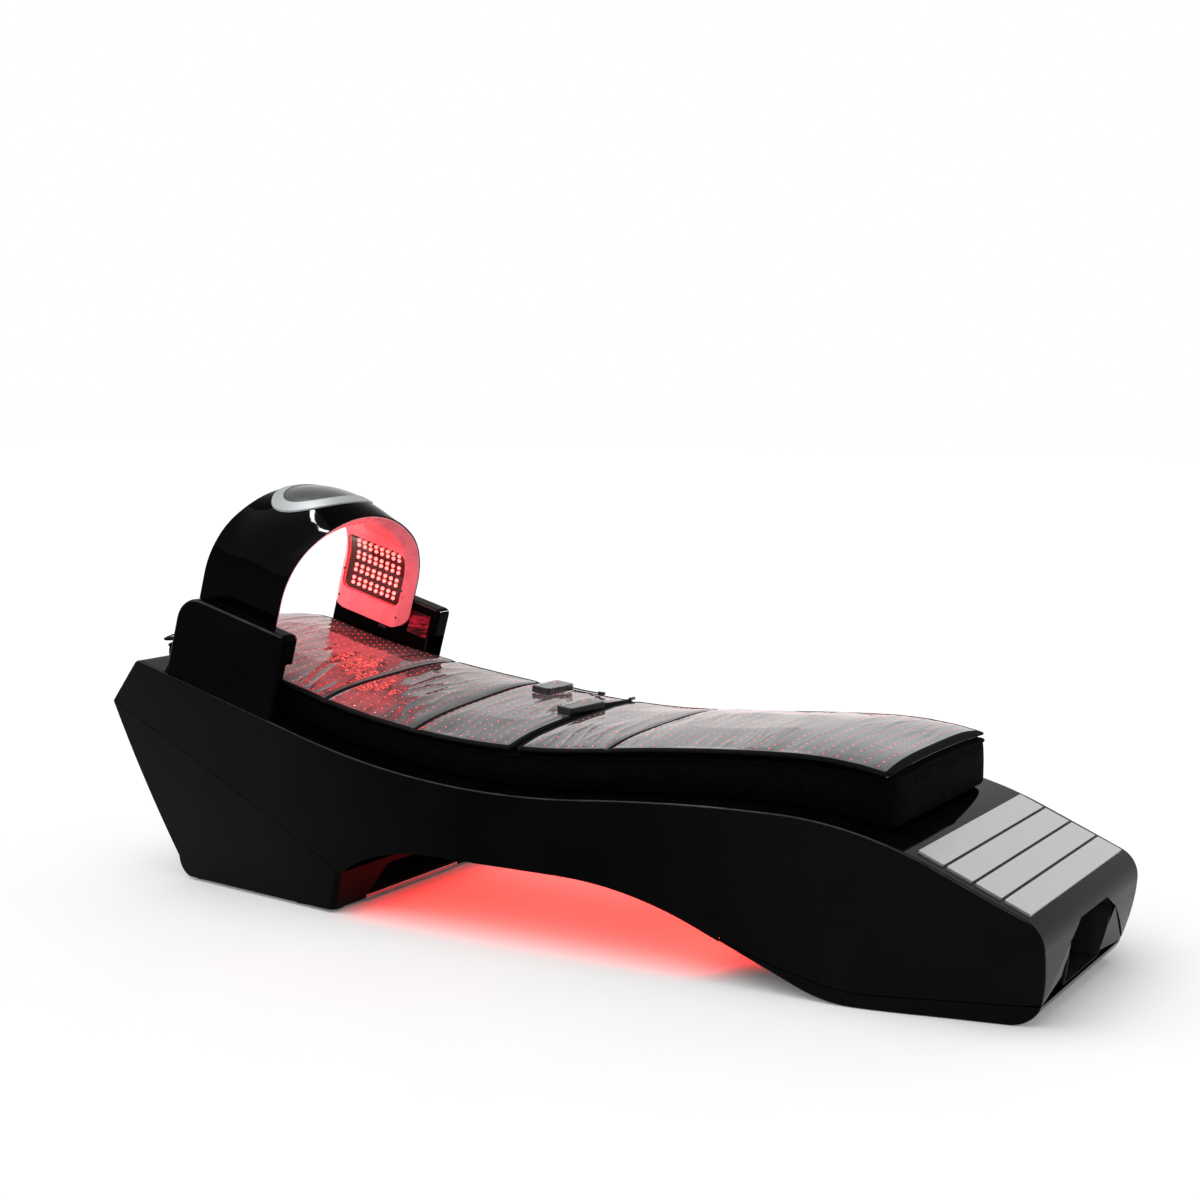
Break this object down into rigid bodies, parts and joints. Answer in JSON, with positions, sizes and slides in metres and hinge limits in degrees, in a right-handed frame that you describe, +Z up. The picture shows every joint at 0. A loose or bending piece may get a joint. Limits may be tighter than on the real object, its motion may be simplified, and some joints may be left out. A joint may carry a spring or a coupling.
{
  "type": "red light therapy bed",
  "caption": "Long gloss lounger bed with a waved deck, padded light mats, a tilting light dome between head wings, plated foot deck and light under its arch.",
  "frame": {"origin": "middle of the bed's length and width, on the floor", "axes": "+X from head to foot along the bed, +Y to the lying person's left, +Z up"},
  "size_m": [2.614, 0.732, 1.0708],
  "materials": {
    "shell_black": "high gloss lacquer",
    "liner_black": "satin",
    "plate_metal": "brushed across",
    "liner_white": "satin",
    "window_clear": "clear",
    "board_dark": "matte",
    "lamp_red": "lit red",
    "ring_silver": "satin",
    "panel_grey": "gloss",
    "steel": "turned",
    "bronze": "plain",
    "friction_fibre": "matte",
    "rubber_black": "matte",
    "knit_black": "knitted",
    "mat_vinyl": "clear film over a grey quilt",
    "handset_black": "satin",
    "display_red": "tinted",
    "key_grey": "satin",
    "frame_paint": "powder coat",
    "case_metal": "plain",
    "channel_metal": "plain",
    "lens_red": "lit red"
  },
  "bodies": {
    "bed": {"upper_shell": "shell_black", "head_base_shell": "shell_black", "foot_skirt": "shell_black", "foot_recess_liner": "liner_black", "foot_cheek_left": "shell_black", "foot_cheek_right": "shell_black", "arch_liner": "liner_black", "head_recess_liner": "liner_black", "foot_plate_1": "plate_metal", "foot_plate_2": "plate_metal", "foot_plate_3": "plate_metal", "foot_plate_4": "plate_metal", "wing_shell_left": "shell_black", "wing_shell_right": "shell_black", "wing_panel_left": "shell_black", "wing_panel_right": "shell_black", "pivot_pins": "steel", "friction_discs": "friction_fibre", "dome_rest_stops": "rubber_black", "mattress": "knit_black", "upper_mat": "mat_vinyl", "lower_mat": "mat_vinyl", "handset_1_case": "handset_black", "handset_1_cover": "handset_black", "handset_2_case": "handset_black", "handset_2_cover": "handset_black", "handset_1_lead": "rubber_black", "handset_2_lead": "rubber_black", "handset_displays": "display_red", "strain_reliefs": "rubber_black", "mat_glands": "handset_black", "frame_rails": "frame_paint", "frame_cross_members": "frame_paint", "frame_posts": "frame_paint", "power_supply": "case_metal", "control_unit": "handset_black", "inlet_plate": "liner_black", "mains_inlet": "liner_black", "floor_pads": "rubber_black", "underglow_channels": "channel_metal", "underglow_lenses": "lens_red"},
    "dome": {"dome_outer_shell": "shell_black", "dome_liner": "liner_white", "dome_trim_ring": "ring_silver", "dome_top_panel": "panel_grey", "dome_windows": "window_clear", "dome_light_boards": "board_dark", "dome_lights": "lamp_red", "dome_liner_screws": "steel", "pivot_bushes": "bronze"},
    "power_rocker": {"power_rocker": "liner_black"},
    "handset_1_key_1": {"handset_1_key_1": "key_grey"},
    "handset_1_key_2": {"handset_1_key_2": "key_grey"},
    "handset_1_key_3": {"handset_1_key_3": "key_grey"},
    "handset_1_key_4": {"handset_1_key_4": "key_grey"},
    "handset_2_key_1": {"handset_2_key_1": "key_grey"},
    "handset_2_key_2": {"handset_2_key_2": "key_grey"},
    "handset_2_key_3": {"handset_2_key_3": "key_grey"},
    "handset_2_key_4": {"handset_2_key_4": "key_grey"}
  },
  "joints": [
    {"name": "dome_tilt", "type": "hinge", "parent": "bed", "child": "dome", "pos_m": [-0.98759, 0, 0.73846], "axis": [0, -1, 0], "range_deg": [0, 60]},
    {"name": "power_rocker_tilt", "type": "hinge", "parent": "bed", "child": "power_rocker", "pos_m": [-1.20115, -0.024, 0.1896], "axis": [0, -1, 0], "range_deg": [0, 10]},
    {"name": "handset_1_key_1_press", "type": "slide", "parent": "bed", "child": "handset_1_key_1", "axis": [-0.0992, -0.0205, -0.9949], "range_m": [0, 0.001], "stiffness_N_per_m": 1200},
    {"name": "handset_1_key_2_press", "type": "slide", "parent": "bed", "child": "handset_1_key_2", "axis": [-0.0992, -0.0205, -0.9949], "range_m": [0, 0.001], "stiffness_N_per_m": 1200},
    {"name": "handset_1_key_3_press", "type": "slide", "parent": "bed", "child": "handset_1_key_3", "axis": [-0.0992, -0.0205, -0.9949], "range_m": [0, 0.001], "stiffness_N_per_m": 1200},
    {"name": "handset_1_key_4_press", "type": "slide", "parent": "bed", "child": "handset_1_key_4", "axis": [-0.0992, -0.0205, -0.9949], "range_m": [0, 0.001], "stiffness_N_per_m": 1200},
    {"name": "handset_2_key_1_press", "type": "slide", "parent": "bed", "child": "handset_2_key_1", "axis": [-0.0353, 0.0423, -0.9985], "range_m": [0, 0.001], "stiffness_N_per_m": 1200},
    {"name": "handset_2_key_2_press", "type": "slide", "parent": "bed", "child": "handset_2_key_2", "axis": [-0.0353, 0.0423, -0.9985], "range_m": [0, 0.001], "stiffness_N_per_m": 1200},
    {"name": "handset_2_key_3_press", "type": "slide", "parent": "bed", "child": "handset_2_key_3", "axis": [-0.0353, 0.0423, -0.9985], "range_m": [0, 0.001], "stiffness_N_per_m": 1200},
    {"name": "handset_2_key_4_press", "type": "slide", "parent": "bed", "child": "handset_2_key_4", "axis": [-0.0353, 0.0423, -0.9985], "range_m": [0, 0.001], "stiffness_N_per_m": 1200}
  ]
}
